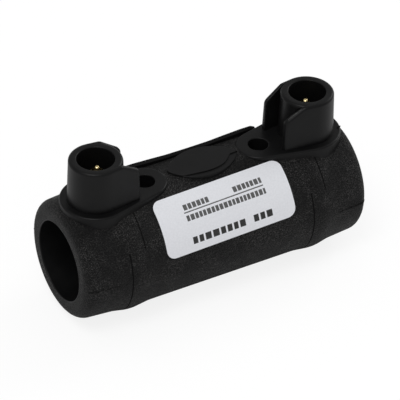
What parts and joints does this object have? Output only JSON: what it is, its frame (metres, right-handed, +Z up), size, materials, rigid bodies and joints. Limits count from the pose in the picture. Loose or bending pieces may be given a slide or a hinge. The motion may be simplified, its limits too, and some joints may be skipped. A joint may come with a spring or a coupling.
{
  "type": "electrofusion coupler",
  "caption": "Black moulded electrofusion coupler: straight socket sleeve for 20 mm plastic pipe with two shrouded terminal towers and a front label.",
  "frame": {"origin": "middle of the bore, on its axis", "axes": "+X along the bore to the right-hand socket mouth, -Y towards the side that carries the label, +Z up along the terminal towers"},
  "size_m": [0.0786, 0.0326, 0.0438],
  "materials": {
    "polyethylene": "fine spark-eroded mould texture, satin black",
    "pin_brass": "turned, bright",
    "winding": "polyethylene-coated resistance wire, ridged, semi-gloss",
    "label": "white, printed grey"
  },
  "bodies": {
    "root": {"body": "polyethylene", "terminal_pin_left": "pin_brass", "terminal_pin_right": "pin_brass", "heating_winding": "winding", "label_front": "label"}
  },
  "joints": []
}
